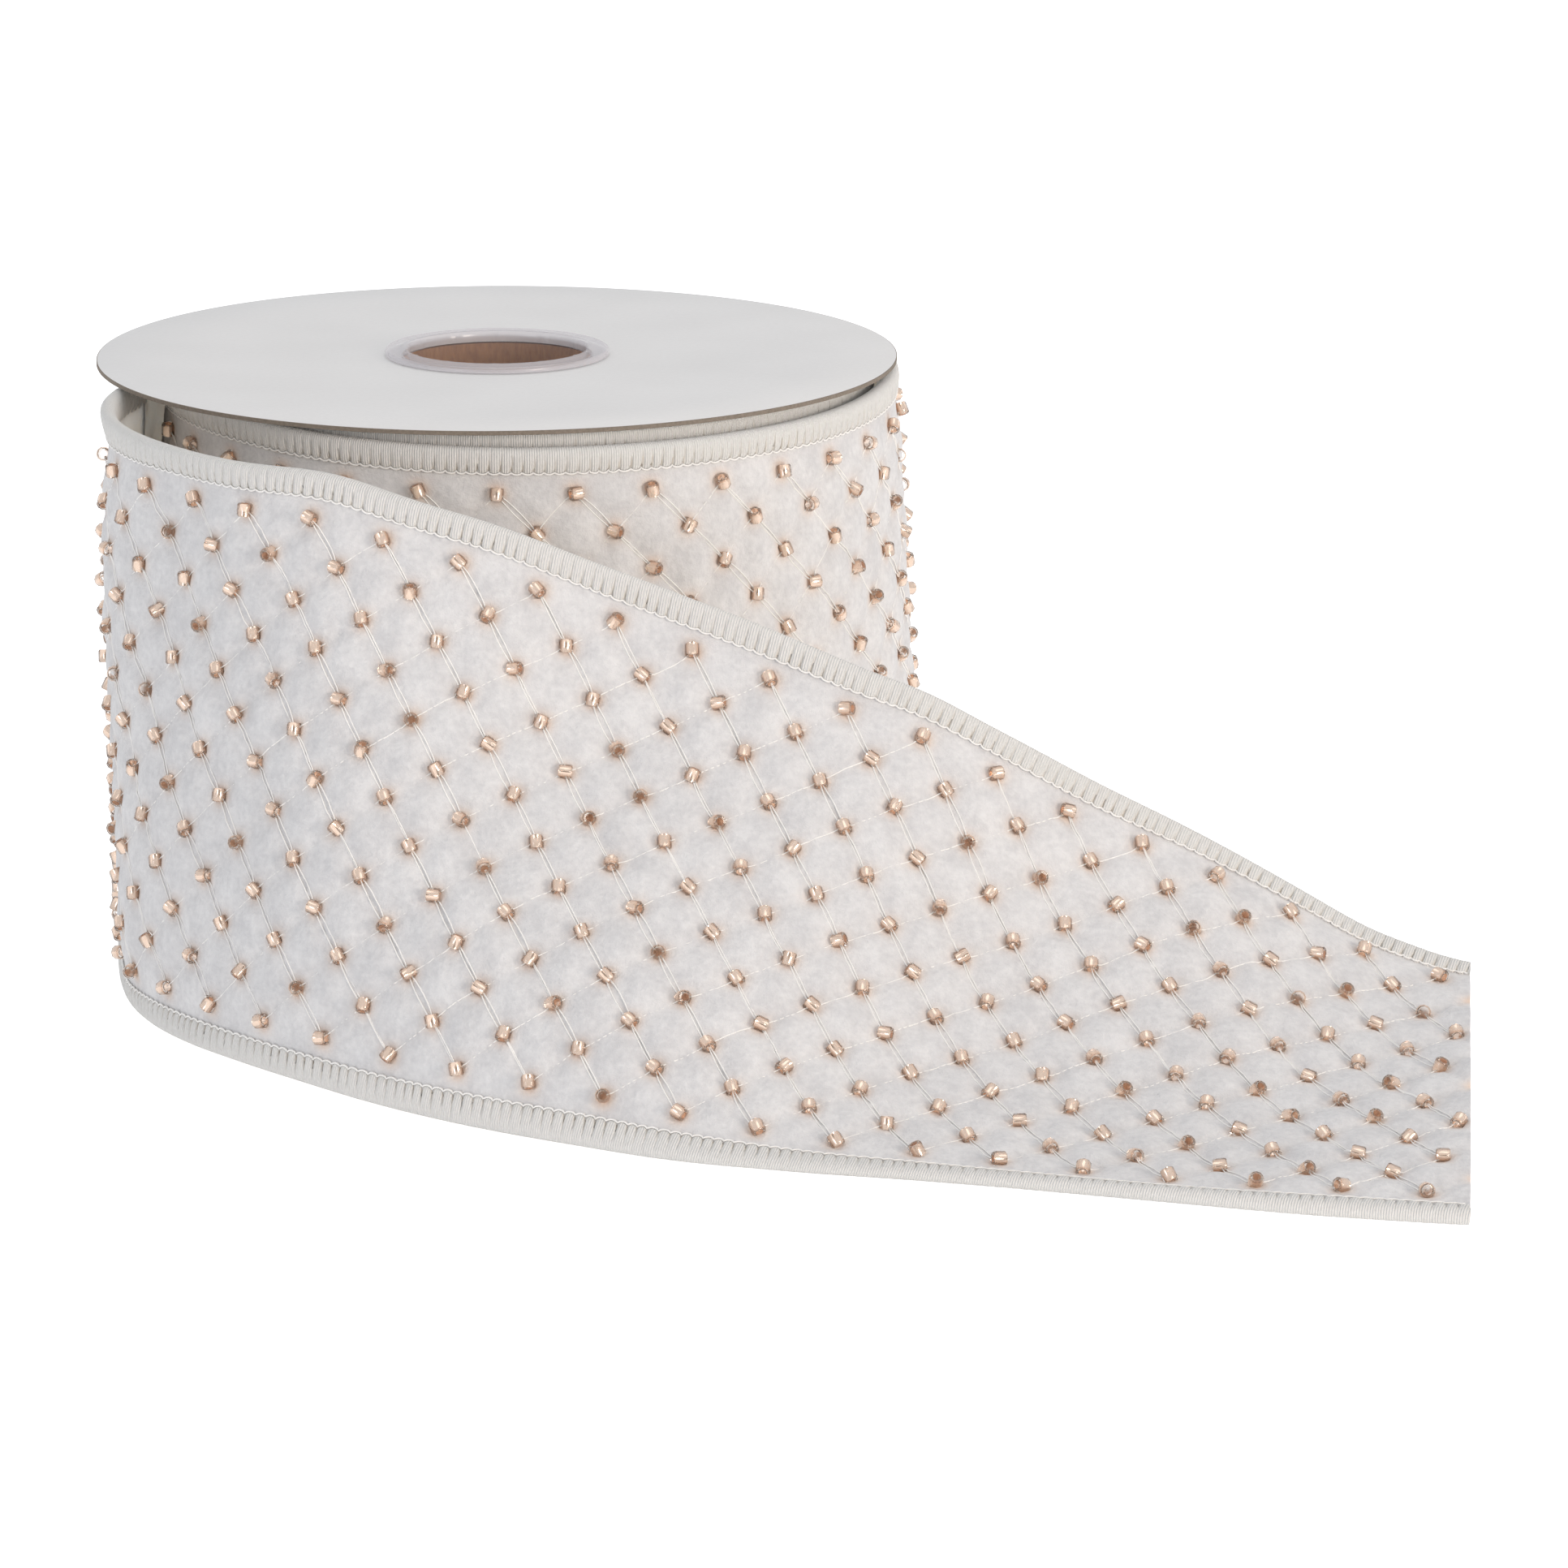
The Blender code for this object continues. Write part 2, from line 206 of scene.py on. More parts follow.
TAIL_TABLE = np.array((
    (0, -67.7, -19.9, 2.6, -64.4, -19.0, 0.0, 0.0),
    (5, -67.9, -25.3, 2.6, -65.5, -24.6, 0.3, 0.0),
    (14, -67.7, -34.7, 2.5, -66.8, -34.2, 0.5, 0.3),
    (26, -67.0, -46.6, 2.3, -66.5, -46.6, 0.9, 0.9),
    (37, -66.1, -57.5, 2.2, -64.4, -57.7, 1.9, 1.1),
    (50, -64.5, -70.4, 2.2, -59.7, -69.8, 2.6, 0.0),
    (64, -61.7, -84.1, 2.2, -52.1, -80.8, 2.0, -2.3),
    (78, -57.2, -97.3, 2.4, -42.3, -89.7, 1.7, -1.4),
    (92, -50.2, -109.6, 2.4, -30.9, -96.6, 1.4, -0.9),
    (106, -41.1, -120.8, 2.2, -18.4, -101.8, 3.0, -1.6),
    (121, -30.2, -131.8, 1.7, -4.5, -105.3, 3.8, -2.5),
    (135, -19.2, -141.6, 1.0, 8.7, -106.8, 2.7, -3.2),
    (149, -7.8, -150.6, 0.5, 22.0, -107.2, 1.4, -4.7),
    (163, 4.1, -159.0, 0.3, 35.1, -107.8, 0.2, -4.7),
    (177, 16.2, -166.9, 0.35, 48.5, -108.9, -0.5, -4.0),
    (199, 35.5, -177.8, 0.35, 69.5, -110.8, -3.3, -1.4),
    (220, 55.1, -184.3, 0.3, 88.7, -110.3, -7.1, 0.7),
    (241, 75.3, -189.3, 0.3, 107.2, -108.5, -9.3, 0.8),
    (263, 96.7, -195.7, 0.35, 127.0, -107.7, -7.0, 1.7),
    (284, 117.5, -202.9, 0.45, 145.8, -109.7, -4.6, 1.6),
    (305, 138.2, -209.4, 0.25, 164.5, -113.2, -2.3, 0.1),
    (340, 172.3, -217.0, 0.2, 198.6, -119.9, 3.8, 2.1),
))


def smooth_read(table, names, wanted, places):
    """A table's column between its rows: cubic arcs through every row, whose slopes
    there are those of the row before and the row after."""
    stations, values = table[:, 0], table[:, names.index(wanted)]
    slopes = np.gradient(values, stations)
    low = np.clip(np.searchsorted(stations, places) - 1, 0, len(stations) - 2)
    span = stations[low + 1] - stations[low]
    part = (places - stations[low]) / span
    ends = (1 + 2 * part) * (1 - part) ** 2 * values[low]
    ends += part**2 * (3 - 2 * part) * values[low + 1]
    leans = part * (1 - part) ** 2 * slopes[low] - part**2 * (1 - part) * slopes[low + 1]
    return ends + leans * span


turn_angles = np.linspace(TURN_TABLE[0, 0], TURN_TABLE[-1, 0], 721)
turn_radius = sum(smooth_read(TURN_TABLE, TURN_NAMES, n, turn_angles) for n in TURN_NAMES[1:3])
turn_radius = turn_radius / 2 * MM - RIM_HALF
turn_hops = np.hypot(np.diff(turn_radius), np.radians(np.diff(turn_angles)) * turn_radius[1:])
turn_along = np.concatenate([[0], np.cumsum(turn_hops)])
TURN_LENGTH = turn_along[-1]
turn_along -= TURN_LENGTH
print("outermost turn is", round(TURN_LENGTH, 4), "m long")

# %% [markdown]
# A point on the roll lies at a radius between the upper and the lower edge's, and a point
# of the loose end between its foot and its head. There the crown bows it as a parabola
# and the skew bends it into an S, a cubic whose factor makes the skew its greatest depth.
# The third number is how far a point stands off the ribbon's middle, towards the beads.

# %% Points on the ribbon
FLARE = 2.2 * MM
FLARE_DEPTH = 5 * MM
FLARES = ((22 * MM, 26 * MM, 1.0), (-440 * MM, 45 * MM, 0.8))
FLARE_START = 8 * MM
TURN_BENEATH = -300 * MM
SKEW_SHAPE = 10.4
STEP_RAMP = 25 * MM


def rim_flare(along, across):
    """The wired upper edge springs outwards at the left, on the loose end and on the turn
    beneath: a bell along the ribbon, times an exponential that fades away from the edge.
    The loose end's bell starts from nothing where it leaves the roll."""
    bells = sum(share * np.exp(-(((along - middle) / reach) ** 2)) for middle, reach, share in FLARES)
    started = np.clip(along / FLARE_START, 0, 1) + (along < TURN_BENEATH)
    return FLARE * bells * started * np.exp(-across / FLARE_DEPTH)


def turn_point(angle, across, offset, inward=0.0, drop=1.0):
    """Radius is the edges' share by the way across, less half a rim, plus the offset."""
    share = across / WIDTH
    upper = smooth_read(TURN_TABLE, TURN_NAMES, "upper", angle)
    lower = smooth_read(TURN_TABLE, TURN_NAMES, "lower", angle)
    radius = (upper * (1 - share) + lower * share) * MM - RIM_HALF + offset - inward
    slip = smooth_read(TURN_TABLE, TURN_NAMES, "drop", angle) * MM * drop
    height = ROLL_BASE + WIDTH - across - slip
    turned = np.radians(angle)
    return AXIS + np.stack([radius * np.cos(turned), radius * np.sin(turned), height], -1)


def tail_edges(along):
    """Foot and head of the loose end. The foot's height grows with the lean, so that its
    thick edge stays off the floor. The head is a chord above it: the width less 8 / 3 of
    the bow squared over the width, moved by the bell curves of the stretched places."""
    foot_x, foot_y, lift, head_x, head_y, crown, skew = (
        smooth_read(TAIL_TABLE, TAIL_NAMES, name, along / MM) * MM for name in TAIL_NAMES[1:]
    )
    chord = WIDTH - 8 / 3 * crown**2 / WIDTH
    lean_sine = np.hypot(head_x - foot_x, head_y - foot_y) / chord
    lean_cosine = np.sqrt(1 - lean_sine**2)
    foot_z = lift + np.maximum(0.9 * lean_sine, 1.5 * lean_sine - 0.6 * lean_cosine) * MM
    foot = np.stack([foot_x, foot_y, foot_z], -1)
    rise = sum(high * MM * np.exp(-(((along / MM - middle) / reach) ** 2))
               for middle, reach, high in STRETCHED)
    head = np.stack([head_x, head_y, foot_z + chord * lean_cosine + rise], -1)
    return AXIS + foot, AXIS + head, crown, skew


def tail_point(along, across, offset):
    """Between head and foot by the share across, off it by crown, skew and offset."""
    foot, head, crown, skew = tail_edges(along)
    foot_ahead, head_ahead, _, _ = tail_edges(along + MM)
    normal = np.cross(foot - head, foot_ahead + head_ahead - foot - head)
    normal /= np.linalg.norm(normal, axis=-1, keepdims=True)
    share = across / WIDTH
    swell = share * (1 - share) * (4 * crown + SKEW_SHAPE * (1 - 2 * share) * skew) + offset
    return head + (foot - head) * share[..., None] + normal * swell[..., None]


def ribbon_point(along, across, offset):
    """The roll's formula before the ribbon leaves it, and the loose end's after. The small
    step between the two is spread over the roll's last stretch by a smooth ramp."""
    along, across, offset = np.broadcast_arrays(along, across, offset)
    offset = offset + rim_flare(along, across)
    angle = np.interp(along, turn_along, turn_angles)
    step = tail_point(np.zeros(along.shape), across, offset)
    step -= turn_point(np.full(along.shape, turn_angles[-1]), across, offset)
    eased = np.clip(1 + along / STEP_RAMP, 0, 1)
    on_roll = turn_point(angle, across, offset) + step * (eased**2 * (3 - 2 * eased))[..., None]
    on_tail = tail_point(np.maximum(along, 0.0), across, offset)
    return np.where((along < 0)[..., None], on_roll, on_tail)


ends = ribbon_point(np.array([-1e-6, 1e-6]), WIDTH / 2, 0.0)
print("step where the loose end leaves:", round(np.linalg.norm(ends[1] - ends[0]) / MM, 2), "mm")

# %% [markdown]
# All the new pieces are skins over rings of points. One function makes such a mesh from
# an array whose axes are the piece, the ring and the point on the ring. It closes each
# ring, joins the last ring to the first where the piece is endless, and caps it otherwise.

# %% Skins over rings
def skin(name, points, material, endless=False, crease=60, uv=None, marks=None):
    """Point j of ring i is joined to j + 1 and to ring i + 1. If the enclosed volume comes
    out negative the faces are turned, so that they always point outwards."""
    pieces, rings, around = points.shape[:3]
    index = np.arange(pieces * rings * around).reshape(pieces, rings, around)
    here = index if endless else index[:, :-1]
    ahead = np.roll(index, -1, axis=1) if endless else index[:, 1:]
    quads = [here, np.roll(here, -1, 2), np.roll(ahead, -1, 2), ahead]
    quads = np.stack(quads, axis=-1).reshape(-1, 4)
    flat = points.reshape(-1, 3)
    corners = flat[quads] - flat.mean(axis=0)
    volume = np.einsum("ij,ij->i", corners[:, 0], np.cross(corners[:, 1], corners[:, 2])).sum()
    volume += np.einsum("ij,ij->i", corners[:, 0], np.cross(corners[:, 2], corners[:, 3])).sum()
    faces = quads.tolist()
    if not endless:
        faces += index[:, 0, ::-1].tolist() + index[:, -1].tolist()
    if volume < 0:
        faces = [face[::-1] for face in faces]
    mesh = bpy.data.meshes.new(name)
    mesh.from_pydata(flat.tolist(), [], faces)
    mesh.shade_smooth()
    mesh.set_sharp_from_angle(angle=math.radians(crease))
    if uv is not None:
        loops = np.empty(len(mesh.loops), np.int32)
        mesh.loops.foreach_get("vertex_index", loops)
        layer = mesh.uv_layers.new(name="ribbon")
        layer.data.foreach_set("uv", uv.reshape(-1, 2)[loops].astype(np.float32).ravel())
    for mark, values in (marks or {}).items():
        kept = mesh.attributes.new(mark, "FLOAT", "POINT")
        kept.data.foreach_set("value", values.astype(np.float32).ravel())
    mesh.materials.append(material)
    obj = bpy.data.objects.new(name, mesh)
    bpy.context.scene.collection.objects.link(obj)
    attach(obj, "root")
    print(name, len(faces), "faces")
    return obj


# %% [markdown]
# The velvet is sewn down in diamonds by two families of slanting stitches, with a bead on
# each crossing. Between them the pile puffs up, and the cloth puckers a little towards the
# threads. That relief could be displaced by a texture, but it has to agree with the beads
# and threads, so it is worked out from the same lattice: k counts half diamonds along the
# ribbon and v the rows across it, and a bead sits wherever k + v is even. The swells and
# the puckers each have a height, a wavelength and the seed of their random directions.

# %% Quilting
HALF_DIAMOND = 7.1 * MM
ROWS = 13
FIRST_ROW = (WIDTH - (ROWS - 1) * HALF_DIAMOND) / 2
TAIL_PHASE = 0.41
ROLL_ANCHOR = (-88.3, -50.0)
PUFF = 0.95 * MM
DIMPLE = 0.25 * MM
DIMPLE_REACH = 0.08
SWELLS = ((0.30, 24 * MM, 3), (0.20, 6 * MM, 5))
PUCKERS = (0.20, 2.8 * MM, 7)
SWELL_HEIGHT = 0.55 * MM
CLOTH_HALF = 0.75 * MM
WAVE_COUNT = 18

anchor_along = np.interp(ROLL_ANCHOR[0], turn_angles, turn_along)
turn_pitch = -anchor_along / (TAIL_PHASE - ROLL_ANCHOR[1])


def column_of(along):
    """Half diamonds along the ribbon: a steady pitch on the loose end, and on the roll
    the pitch that puts the anchor's bead at its measured angle."""
    return TAIL_PHASE + np.where(along < 0, along / turn_pitch, along / HALF_DIAMOND)


def along_of(column):
    """The way back from a column to the distance along the ribbon."""
    from_start = column - TAIL_PHASE
    return from_start * np.where(from_start < 0, turn_pitch, HALF_DIAMOND)


def waves(x, y, length, seed):
    """Smooth random swells of about one wavelength: a sum of cosines in all directions."""
    random = np.random.default_rng(seed)
    turned = random.uniform(0, 2 * math.pi, WAVE_COUNT)
    pitch = 2 * math.pi / (length * random.uniform(0.75, 1.35, WAVE_COUNT))
    start = random.uniform(0, 2 * math.pi, WAVE_COUNT)
    total = np.zeros(np.broadcast(x, y).shape)
    for angle, rate, phase in zip(turned, pitch, start):
        total += np.cos(rate * (x * math.cos(angle) + y * math.sin(angle)) + phase)
    return total / math.sqrt(WAVE_COUNT)


def velvet_front(along, across):
    """Offset of the pile: most of half the cloth, plus a pillow over each diamond, less a
    dimple at each bead, plus slow swells and small puckers. The pillow is the sum of two
    powers of sin squared a times sin squared b. All fade out under the oversewn edges."""
    k, v = column_of(along), (across - FIRST_ROW) / HALF_DIAMOND
    a, b = (k + v) / 2 * math.pi, (k - v) / 2 * math.pi
    spacing = np.sin(a) ** 2 * np.sin(b) ** 2
    pillow = 0.55 * spacing**0.2 + 0.45 * spacing**0.6
    dimple = np.exp(-(np.sin(a) ** 2 + np.sin(b) ** 2) / DIMPLE_REACH)
    inside = np.clip(np.minimum(across, WIDTH - across) / HALF_DIAMOND - 0.75, 0, 1)
    inside = inside**2 * (3 - 2 * inside)
    swells = sum(high * waves(along, across, length, seed) for high, length, seed in SWELLS)
    high, length, seed = PUCKERS
    toward_bead = 1 - np.sqrt(spacing)
    puckers = high * waves(along, across, length, seed) * toward_bead * (1 - dimple)
    relief = inside * (PUFF * pillow - DIMPLE * dimple + (swells + puckers) * SWELL_HEIGHT)
    return CLOTH_HALF * 0.8 + relief


sample = velvet_front(np.linspace(0, 0.1, 200)[:, None], np.linspace(0.01, 0.09, 160)[None, :])
print("relief of the pile from", round(sample.min() / MM, 2), "to", round(sample.max() / MM, 2), "mm")

# %% [markdown]
# Velvet is a cut pile on a woven ground. Its hairs scatter light, so it has no highlight,
# a soft sheen along its turned-away sides, and a mottled look where the pile leans to and
# fro. Three sizes of noise give that: patches of 6 mm where the pile has been stroked,
# tufts of 1.1 mm, and single hairs, drawn 0.25 mm coarse so that they show. Close to a
# bead the cloth is painted a warm peach, a painted glow that stands for the light that
# has passed through the glass.

# %% Velvet material
velvet, tree = finish_tree("cut_pile_velvet")
place = add(tree, "ShaderNodeTexCoord")
spots = {}
PILE_NOISE = (("strokes", 6 * MM, 2.0), ("tufts", 1.1 * MM, 3.0), ("hairs", 0.25 * MM, 2.0))
for name, size, detail in PILE_NOISE:
    spots[name] = add(tree, "ShaderNodeTexNoise", {
        "Vector": place.outputs["Object"], "Scale": 1 / size, "Detail": detail, "Roughness": 0.6,
    }).outputs["Fac"]
blend = add(tree, "ShaderNodeMath", {0: spots["strokes"], 1: spots["tufts"]}, operation="ADD")
stroked = add(tree, "ShaderNodeMapRange", {
    "Value": blend.outputs[0], "From Min": 0.75, "From Max": 1.25,
})
pile = add(tree, "ShaderNodeMix", {
    0: stroked.outputs[0], 6: linear("#CECDCE"), 7: linear("#DFDEDE"),
}, data_type="RGBA")
# Painted glow: near each bead the pile's colour is mixed towards a warm peach, painted light from the glass.
near = add(tree, "ShaderNodeAttribute", attribute_name="painted_bead_glow")
glow = add(tree, "ShaderNodeMath", {0: near.outputs["Fac"], 1: 0.7}, operation="MULTIPLY")
painted_glow_tone = add(tree, "ShaderNodeMix", {
    0: glow.outputs[0], 6: pile.outputs[2], 7: linear("#F2CBA8"),
}, data_type="RGBA")
tufted = add(tree, "ShaderNodeBump", {
    "Height": spots["tufts"], "Distance": 0.5 * MM, "Strength": 0.5,
})
haired = add(tree, "ShaderNodeBump", {
    "Height": spots["hairs"], "Distance": 0.12 * MM, "Strength": 0.6,
    "Normal": tufted.outputs["Normal"],
})
soft = add(tree, "ShaderNodeBsdfPrincipled", {
    "Base Color": painted_glow_tone.outputs[2], "Roughness": 0.95, "Specular IOR Level": 0.15,
    "Sheen Weight": 0.25, "Sheen Roughness": 0.5, "Sheen Tint": linear("#FFFFFF"),
    "Normal": haired.outputs["Normal"],
})
add(tree, "ShaderNodeOutputMaterial", {"Surface": soft.outputs["BSDF"]})
print(velvet.name, "has", len(tree.nodes), "nodes")

# %% [markdown]
# The back of the velvet is its bare ground, a close plain weave in unbleached thread, so
# it is smoother and creamier. The cloth is thin enough for light to go through, which
# makes the loop glow from inside, so the back lets light scatter beneath its surface.

# %% Woven back material
ground, tree = finish_tree("woven_ground_back")
where = add(tree, "ShaderNodeTexCoord").outputs["Object"]
weave = add(tree, "ShaderNodeTexVoronoi", {"Vector": where, "Scale": 1 / (0.55 * MM)}, distance="CHEBYCHEV")
slubs = add(tree, "ShaderNodeTexNoise", {"Vector": where, "Scale": 1 / (3 * MM), "Detail": 2.0})
cream = add(tree, "ShaderNodeMix", {
    0: slubs.outputs["Fac"], 6: linear("#F1E7DA"), 7: linear("#FBF4EA"),
}, data_type="RGBA")
woven = add(tree, "ShaderNodeBump", {
    "Height": weave.outputs["Distance"], "Distance": 0.1 * MM, "Strength": 0.5,
})
bare = add(tree, "ShaderNodeBsdfPrincipled", {
    "Base Color": cream.outputs[2], "Roughness": 0.85, "Specular IOR Level": 0.2,
    "Subsurface Weight": 1.0, "Subsurface Radius": (1.0, 0.9, 0.8), "Subsurface Scale": 8 * MM,
    "Normal": woven.outputs["Normal"],
})
add(tree, "ShaderNodeOutputMaterial", {"Surface": bare.outputs["BSDF"]})
print(ground.name, "has", len(tree.nodes), "nodes")

# %% [markdown]
# The velvet itself is a sheet 1.5 mm thick. Its beaded side needs points less than 1 mm
# apart to carry the puckers, while its plain back needs few, so each ring of the skin goes
# down the front in small steps and back up behind in large ones. The loose end and the
# outermost turn are two skins that meet edge to edge where the ribbon leaves the roll. The
# cut is straight but aslant, so the last rings fan out to follow it.

# %% Velvet sheets
TAIL_LENGTH = 323.0 * MM
CUT_SLANT = 19.0 * MM
FAN_LENGTH = 42.6 * MM
SHELF = 3.6 * MM
BACK_COUNT = 18
PAINTED_GLOW_REACH = 0.26


def fanned(along, across):
    """Distances that lean over towards the slanting cut in the last stretch."""
    share = np.clip((along - TAIL_LENGTH + FAN_LENGTH) / FAN_LENGTH, 0, 1)
    return along + share * CUT_SLANT * (across / WIDTH - 0.5)


def velvet_sheet(name, stations, front_count):
    """Rings of front points at the pile's offset and back points at a flat one. The painted
    warm glow fades from each bead as an exponential of the two families' squared sines."""
    front = np.linspace(SHELF, WIDTH - SHELF, front_count)
    back = np.linspace(WIDTH - SHELF, SHELF, BACK_COUNT)
    along_front = fanned(stations[:, None], front[None, :])
    along_back = fanned(stations[:, None], back[None, :])
    raised = velvet_front(along_front, front[None, :])
    across = np.concatenate([np.broadcast_to(front, along_front.shape),
                             np.broadcast_to(back, along_back.shape)], axis=1)
    along = np.concatenate([along_front, along_back], axis=1)
    offset = np.concatenate([raised, np.full(along_back.shape, -CLOTH_HALF)], axis=1)
    k, v = column_of(along), (across - FIRST_ROW) / HALF_DIAMOND
    crossing = np.sin((k + v) / 2 * math.pi) ** 2 + np.sin((k - v) / 2 * math.pi) ** 2
    rows = (v > -0.5) & (v < ROWS - 0.5) & (offset > 0)
    glow = np.exp(-crossing / PAINTED_GLOW_REACH) * rows
    points = ribbon_point(along, across, offset)
    sheet = skin(name, points[None], velvet, marks={"painted_bead_glow": glow})
    sheet.data.materials.append(ground)
    on_ring = np.arange(len(sheet.data.polygons)) % points.shape[1]
    sheet.data.polygons.foreach_set("material_index", (on_ring >= front_count).astype(np.int32))
    return sheet


tail = velvet_sheet("loose_end_velvet", np.linspace(0, TAIL_LENGTH, 409), 119)
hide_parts("ribbon_tail")
TURN_START = -TURN_LENGTH + MM
turn = velvet_sheet("outer_turn_velvet", np.linspace(TURN_START, 0, 520), 105)
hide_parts("wound_ribbon")

# %% [markdown]
# The edges are a wire rolled into the cloth and oversewn with a soft thread. The thread
# goes over in groups of four or five strands, and between the groups a narrow slit opens
# towards the inside, where a chain of little loops finishes the stitch. The groups and
# slits are shaped, as they catch the light, and the strands are drawn in the finish. The
# slits are also painted a darker beige, a painted shade in the recess between groups.

# %% Oversewing material
oversewn, tree = finish_tree("oversewn_cotton")
strips = add(tree, "ShaderNodeUVMap", uv_map="ribbon")
STRAND = 0.45 * MM
apart = add(tree, "ShaderNodeSeparateXYZ", {"Vector": strips.outputs["UV"]})
turns = add(tree, "ShaderNodeMath", {0: apart.outputs["X"], 1: 2 * math.pi / STRAND}, operation="MULTIPLY")
strands = add(tree, "ShaderNodeMath", {0: turns.outputs[0]}, operation="SINE")
where = add(tree, "ShaderNodeTexCoord").outputs["Object"]
fluff = add(tree, "ShaderNodeTexNoise", {"Vector": where, "Scale": 1 / (0.5 * MM), "Detail": 3.0})
slit = add(tree, "ShaderNodeAttribute", attribute_name="slit")
cotton_tone = add(tree, "ShaderNodeMix", {
    0: fluff.outputs["Fac"], 6: linear("#DBD9D5"), 7: linear("#EBEAE7"),
}, data_type="RGBA")
# Painted shade: the slit mark mixes the thread towards a darker beige in the slits between groups.
painted_slit_shade = add(tree, "ShaderNodeMix", {
    0: slit.outputs["Fac"], 6: cotton_tone.outputs[2], 7: linear("#D2C9BC"),
}, data_type="RGBA")
ridges = add(tree, "ShaderNodeBump", {
    "Height": strands.outputs[0], "Distance": 0.1 * MM, "Strength": 0.8,
})
fluffed = add(tree, "ShaderNodeBump", {
    "Height": fluff.outputs["Fac"], "Distance": 0.15 * MM, "Strength": 0.5,
    "Normal": ridges.outputs["Normal"],
})
stranded = add(tree, "ShaderNodeBsdfPrincipled", {
    "Base Color": painted_slit_shade.outputs[2], "Roughness": 0.75, "Specular IOR Level": 0.3,
    "Sheen Weight": 0.15, "Sheen Roughness": 0.5, "Normal": fluffed.outputs["Normal"],
})
add(tree, "ShaderNodeOutputMaterial", {"Surface": stranded.outputs["BSDF"]})
print(oversewn.name, "has", len(tree.nodes), "nodes")

# %% [markdown]
# The edge is a roll of cloth and thread about 3 mm thick. Each strand could be a tube of
# its own, but there are thousands of them, so one profile, given as inset from the edge
# and height in millimetres, is carried along the ribbon and is shaped at each group.

# %% Oversewn edges
GROUP = 2.0 * MM
LEAN = 0.22
LOBE = 0.55 * MM
BULGE = 0.10 * MM
WEDGE_WIDTH, WEDGE_WIDENING, WEDGE_CUT = 0.04, 0.09, 0.45
SLIT_TO_SLIT = 12.9898
EDGE_PROFILE = np.array((
    (4.6, 0.7), (4.25, 1.0), (3.7, 1.25), (2.8, 1.4), (1.9, 1.48), (1.1, 1.42),
    (0.5, 1.15), (0.12, 0.65), (0.0, 0.0), (0.12, -0.65), (0.5, -1.15), (1.1, -1.42),
    (2.2, -1.45), (3.4, -1.3), (4.6, -0.7),
)) * MM


def drift_of(along, wander):
    """How far the groups run ahead or behind by hand, as a share of a group."""
    return 0.12 * waves(along, 0 * along, 9 * MM, 11 + wander)


def oversewn_edge(name, stations, at_foot, point_at, wander):
    """The profile carried along the ribbon. Each group of strands bulges a little and ends
    in a round lobe, the square root of a half sine wave. A wedge between two groups, a
    bell that widens inwards, cuts into the profile by a share that changes from slit to
    slit as a sine of the group's number."""
    inset, raised = EDGE_PROFILE.T
    inward = inset / inset.max()
    along = fanned(stations[:, None], (WIDTH - inset if at_foot else inset)[None, :])
    drift = drift_of(stations, wander)[:, None]
    phase = (along / GROUP + drift + LEAN * inward**2) % 1.0
    lobe = np.sqrt(np.sin(math.pi * phase))
    away = np.abs(phase - np.round(phase))
    gape = 0.8 + 0.3 * np.sin(np.round(along / GROUP + drift) * SLIT_TO_SLIT + wander)
    wedge = np.exp(-((away / (WEDGE_WIDTH + WEDGE_WIDENING * inward**3)) ** 2)) * gape
    wedge *= np.clip(inward * 1.3 - 0.15, 0, 1) * np.where(raised > 0, 1.0, 0.5)
    bulge = BULGE * (np.sin(math.pi * phase) - 0.6) * (0.4 + 0.6 * inward)
    offset = raised * (1 - WEDGE_CUT * wedge) + np.sign(raised) * bulge
    inset_here = inset + LOBE * (lobe - 0.7) * inward**3
    across = WIDTH - inset_here if at_foot else inset_here
    points = point_at(along, across, offset)
    uv = np.stack([along, inset_here], axis=-1)
    # The wedge is also kept as the slit mark, which paints shade into the slits.
    return skin(name, points[None], oversewn, uv=uv[None], marks={"slit": wedge})


tail_stations = np.linspace(0, TAIL_LENGTH, 1550)
turn_stations = np.linspace(TURN_START, 0, 1900)
for name, at_foot in (("top", 0), ("bottom", 1)):
    edge = oversewn_edge("loose_end_edge_" + name, tail_stations, at_foot, ribbon_point, at_foot)
    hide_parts("tail_wire_edge_" + name)
    oversewn_edge("outer_turn_edge_" + name, turn_stations, at_foot, ribbon_point, 2 + at_foot)

# %% [markdown]
# Under the outermost turn lies the one before it, 3.3 mm further in, and its upper edge
# shows because the outermost turn has slipped down a little. The turns below those fill
# the roll. Nothing shows of them but their rims between the discs, so they are one body
# whose two flat ends are grooved from turn to turn.

# %% The turns beneath
TURN_STEP = 3.3 * MM
LOOSE = 1.2 * MM
CORE_REACH = 19.7 * MM
GROOVES = 12
GROOVE_DEPTH = 0.9 * MM
INNER_COLUMNS = 180
INNER_ROWS = 120


def second_turn_point(along, across, offset):
    """The roll's formula, one turn further in and without the slip. It lies a little
    looser about the angle where the outermost turn bulges, by a bell curve."""
    angle = np.interp(along, turn_along, turn_angles)
    loose = LOOSE * np.exp(-(((angle + 5) / 35) ** 2))
    return turn_point(angle, across, offset, TURN_STEP + loose, drop=0.0)


second_reach = np.interp((TURN_TABLE[-1, 0] - 360, TURN_TABLE[0, 0] + 360), turn_angles, turn_along)
second_stations = np.linspace(*second_reach, 1300)
for name, at_foot in (("top", 0), ("bottom", 1)):
    oversewn_edge("second_turn_edge_" + name, second_stations, at_foot, second_turn_point, 4 + at_foot)

